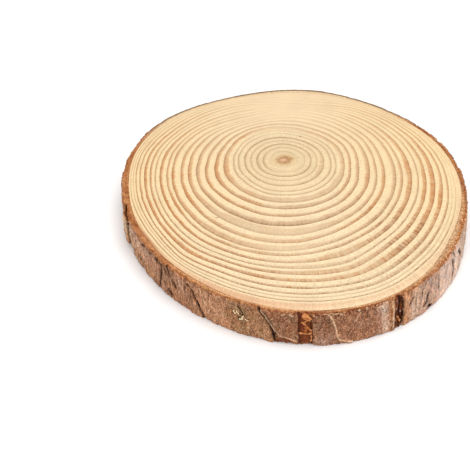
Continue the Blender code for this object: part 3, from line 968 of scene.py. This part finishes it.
def barkGrit(at):  # strength of the material's single grains and of its streaks
    smooth = ease(243, 247, at.turn) * ease(292, 288, at.turn)  # the even plates in front
    onWall = (1 - 0.7 * at.torn) * (0.75 + 0.15 * smooth - 0.32 * at.worn - 0.15 * swell(at.turn, 218, 16))
    onRim = 0.6 + 0.5 * swell(at.turn, 318, 18) - 0.4 * at.calm
    hidden = (1 - 0.6 * (at.slit > 0.2)) * (1 - 0.6 * at.darkness) * (1 - 0.7 * at.gapMask)
    streaky = (1 - 0.7 * at.torn) * (1 - 0.6 * smooth - 0.45 * at.worn)
    return np.where(at.onWall, onWall, onRim) * hidden, np.where(at.onWall, streaky, 0.35)


def buildBark(material):
    mesh, at = barkPoints()
    farPlates, farCracks = farBark()
    shapeFlakes(at)
    cutCracks(at, cracks + farCracks)
    cutGaps(at)
    raiseTornEdges(at)
    tint, plateLift = plateTints(at, plates + farPlates)
    radius, height = barkShape(at, plateLift)
    tint = np.where(at.onWall[:, None], wallTints(at, tint), rimTints(at))
    # painted shade where the cracks notch the sawn rim
    tint = paint(tint, barkLook["crack"], at.darkness * ~at.onWall * ease(0.35, 0, at.rimShare) * 0.8)
    # painted shade in the slit on the rim
    tint = paint(tint, barkLook["crack"], at.slit)
    grains, streaky = barkGrit(at)
    for name, values in (("tint", tint), ("grains", grains), ("streaky", streaky)):
        setAttribute(mesh, name, values)
    piece = finishPiece(mesh, "barkBand", at.turn, radius, height, material, "bark")
    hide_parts("bark")


# Conifer bark, weathered and dry: dead matt, speckled in grains of under half a millimetre.
def barkMaterial():
    material, add = newMaterial("weatheredPineBark")
    place = add("TexCoord")["Object"]
    tint = add("Attribute", attribute_name="tint")["Color"]
    grains, streaky = (add("Attribute", attribute_name=name)["Fac"] for name in ("grains", "streaky"))
    speckle = add("TexNoise", {"Vector": place, "Scale": 4600, "Detail": 1, "Roughness": 0.5})["Fac"]
    drawn = add("Mapping", {"Vector": place, "Scale": (3400, 3400, 1200)})[0]
    fibre = add("TexNoise", {"Vector": drawn, "Scale": 1, "Detail": 3, "Roughness": 0.65})["Fac"]
    both = add("Math", {0: speckle, 1: fibre}, operation="ADD")[0]
    drawn = add("Mapping", {"Vector": place, "Scale": (1500, 1500, 330)})[0]
    streak = add("TexNoise", {"Vector": drawn, "Scale": 1, "Detail": 2})["Fac"]
    for share, value, low, high, least, most, clamp in (
        (grains, both, 0.7, 1.3, 0.05, 1.92, False), (streaky, streak, 0.35, 0.65, 0.58, 1.4, True),
    ):
        gain = add("MapRange", {
            "Value": value, "From Min": low, "From Max": high, "To Min": least, "To Max": most,
        }, clamp=clamp)[0]
        gain = add("Mix", {"Factor": share, 2: 1, 3: gain})[0]
        tint = add("VectorMath", {0: tint, "Scale": gain}, operation="SCALE")[0]
    pale = add("MapRange", {"Value": both, "From Min": 1, "From Max": 1.3, "To Max": 0.25})[0]
    pale = add("Math", {0: pale, 1: grains}, operation="MULTIPLY")[0]
    tint = add("Mix", {"Factor": pale, 6: tint, 7: (*linear(barkLook["paleGrain"]), 1)}, data_type="RGBA")[2]
    setSurface(add, tint, barkLook, both)
    return material


buildWood(pineMaterial())
print("wood built")
buildBark(barkMaterial())
print("bark built")

# Torn strands of inner bark in the open gap: thickness, then points of degrees, height, and mm
# outside the wood.
strands = (
    (1.2, ((268.9, 9, 0.5), (269.6, 9.1, 0.7), (270.3, 8.6, 0.7), (270.8, 7.9, 0.5))),
    (0.8, ((269.2, 8.7, 0.5), (269.6, 8.2, 0.8), (270.2, 7.9, 0.8), (270.5, 7.6, 0.6))),
    (0.34, ((268.5, 6.9, 0.6), (269, 7.2, 0.9), (269.8, 7.9, 1), (270.6, 8.3, 0.9))),
    (0.24, ((268.8, 7.1, 0.8), (269.5, 6.4, 1), (270.1, 5.4, 1), (270.8, 4.4, 0.8))),
    (0.32, ((267.8, 3.6, 0.6), (268.8, 3.8, 0.9), (269.8, 3.7, 1), (270.9, 4.1, 0.7))),
    (0.2, ((270.5, 3.2, 0.7), (270.6, 2.2, 0.8), (270.4, 1, 0.7))),
    (0.16, ((290.4, 3.6, 0.5), (290.9, 2.6, 0.6), (291.3, 1.2, 0.5))),
)

# Pale splinters that stick to the bark in front, given in the same way.
splinters = (
    (0.17, ((253.9, 5.2, 1.3), (254.5, 5.3, 1.45), (255, 5.7, 1.4))),
    (0.14, ((255.1, 6.5, 1.3), (254.8, 6, 1.45), (254.6, 5.5, 1.3))),
    (0.13, ((256.2, 5.3, 1.3), (255.8, 5.5, 1.4), (255.4, 5.6, 1.3))),
    (0.15, ((252.6, 7.3, 1.3), (252.8, 6.9, 1.45), (253.2, 6.4, 1.3))),
    (0.11, ((253.3, 7.4, 1.3), (253.7, 6.9, 1.4), (254, 6.5, 1.3))),
)

# Torn fibres, matt: orange in the open inner bark, pale where a splinter of wood sticks.
fibreLook = {
    "tornInnerBark": ("#a85a2a", "#dc9c63"),
    "paleSplinterWood": ("#e0c190", "#fff2cf"),
    "roughness": 0.85,
    "specular": 0.25,
    "bump": (0.5, 0.0001),
}


def fibreMaterial(name):
    material, add = newMaterial(name)
    place = add("TexCoord")["Object"]
    streak = add("TexNoise", {"Vector": place, "Scale": 1500, "Detail": 3})["Fac"]
    dark, pale = ((*linear(hexColor), 1) for hexColor in fibreLook[name])
    color = add("Mix", {"Factor": streak, 6: dark, 7: pale}, data_type="RGBA")[2]
    setSurface(add, color, fibreLook, streak)
    return material


def extrudeRing(bm, ring):  # gives the new points in the order of the old ones
    edges = [bm.edges.get(pair) for pair in zip(ring, ring[1:] + ring[:1])]
    made = bmesh.ops.extrude_edge_only(bm, edges=edges)["geom"]
    order = {vert: index for index, vert in enumerate(ring)}
    following = [None] * len(ring)
    for vert in (item for item in made if isinstance(item, bmesh.types.BMVert)):
        for edge in vert.link_edges:
            if edge.other_vert(vert) in order:
                following[order[edge.other_vert(vert)]] = vert
    return following


def addStrand(bm, thickness, points):  # a bent, flat rod that thins out along its way
    turn, height, out = np.array(points).T
    places = [Vector(place) + pith for place in placesAt(turn, woodRadius(turn) + out, height) * mm]
    ring = bmesh.ops.create_circle(bm, segments=7, radius=1)["verts"]
    bm.faces.new(ring)
    for step, place in enumerate(places):
        if step:
            ring = extrudeRing(bm, ring)
        ahead = places[min(step + 1, len(places) - 1)] - places[max(step - 1, 0)]
        turned = ahead.normalized().to_track_quat("Z", "Y")
        taper = (1, 0.9, 0.75, 0.4)[min(step, 3)] * thickness * mm / 2
        for index, vert in enumerate(ring):
            angle = 2 * math.pi * index / len(ring)
            vert.co = place + turned @ Vector((math.cos(angle) * taper, math.sin(angle) * taper * 0.6, 0))
    bm.faces.new(ring)


def buildStrands(name, group, material):
    bm = bmesh.new()
    for thickness, points in group:
        addStrand(bm, thickness, points)
    bmesh.ops.recalc_face_normals(bm, faces=bm.faces)
    bmesh.ops.subdivide_edges(bm, edges=bm.edges[:], cuts=1, use_grid_fill=True, smooth=1)
    showPiece(name, meshFrom(name, bm), material)


buildStrands("tornStrands", strands, fibreMaterial("tornInnerBark"))
buildStrands("paleSplinters", splinters, fibreMaterial("paleSplinterWood"))
print("strands built")

# The studio: a plain white floor, matt, under a pale sky. Sizes and places in metres.
studio = {
    "floorSize": 3,
    "floorTone": 0.9,
    "skyStrength": 0.55,
    "lights": (  # name, place, diameter, power in watts
        ("overheadSoftbox", (0.1, -0.1, 0.8), 0.6, 4.6),
        ("frontFill", (0.35, -0.75, 0.3), 0.6, 1.6),
        ("leftFill", (-0.7, -0.4, 0.3), 0.5, 1.5),
    ),
}


def buildFloor():
    bm = bmesh.new()
    bmesh.ops.create_grid(bm, x_segments=1, y_segments=1, size=studio["floorSize"])
    floor = addObject("floor", meshFrom("floor", bm))
    material, add = newMaterial("whiteStudioFloor")
    shader = add("BsdfPrincipled", {
        "Base Color": (*[studio["floorTone"]] * 3, 1), "Roughness": 0.9, "Specular IOR Level": 0.1,
    })[0]
    add("OutputMaterial", {"Surface": shader})
    floor.data.materials.append(material)


def addLight(name, place, diameter, power):  # aimed at the middle of the slice's base
    data = bpy.data.lights.new(name, "AREA")
    data.shape = "DISK"
    data.size = diameter
    data.energy = power
    light = addObject(name, data)
    light.location = place
    light.rotation_euler = (-Vector(place)).to_track_quat("-Z", "Y").to_euler()


def setSky():
    world = bpy.data.worlds.new("studio")
    world.use_nodes = True
    background = world.node_tree.nodes["Background"].inputs
    background["Color"].default_value = (1, 1, 1, 1)
    background["Strength"].default_value = studio["skyStrength"]
    bpy.context.scene.world = world
    bpy.context.scene.view_settings.view_transform = "Standard"


buildFloor()
for light in studio["lights"]:
    addLight(*light)
setSky()
print("stage and lights set")
